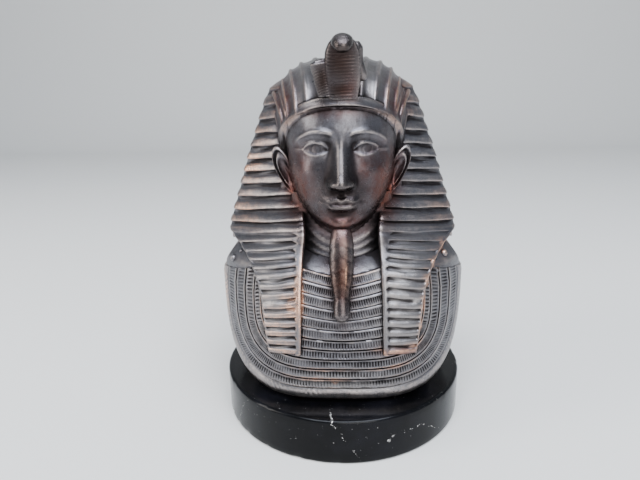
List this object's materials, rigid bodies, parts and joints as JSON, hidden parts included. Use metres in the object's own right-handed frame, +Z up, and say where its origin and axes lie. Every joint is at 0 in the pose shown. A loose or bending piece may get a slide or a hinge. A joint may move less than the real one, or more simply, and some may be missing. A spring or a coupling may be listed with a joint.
{
  "type": "bronze pharaoh bust on a marble base",
  "caption": "Cast bronze bust of a pharaoh in striped headcloth, false beard and broad bead collar, standing on a round black marble base.",
  "frame": {"origin": "middle of the marble base's flat underside", "axes": "+Z up, the face looks along -Y, +X is towards the figure's left shoulder"},
  "size_m": [0.112, 0.112, 0.1654],
  "materials": {
    "patinated_bronze": "cast bronze with a near-black brown patina, rubbed to copper on the high edges",
    "black_marble": "polished black marble with thin white veins"
  },
  "bodies": {
    "root": {"pharaoh_bust": "patinated_bronze", "marble_base": "black_marble"}
  },
  "joints": []
}
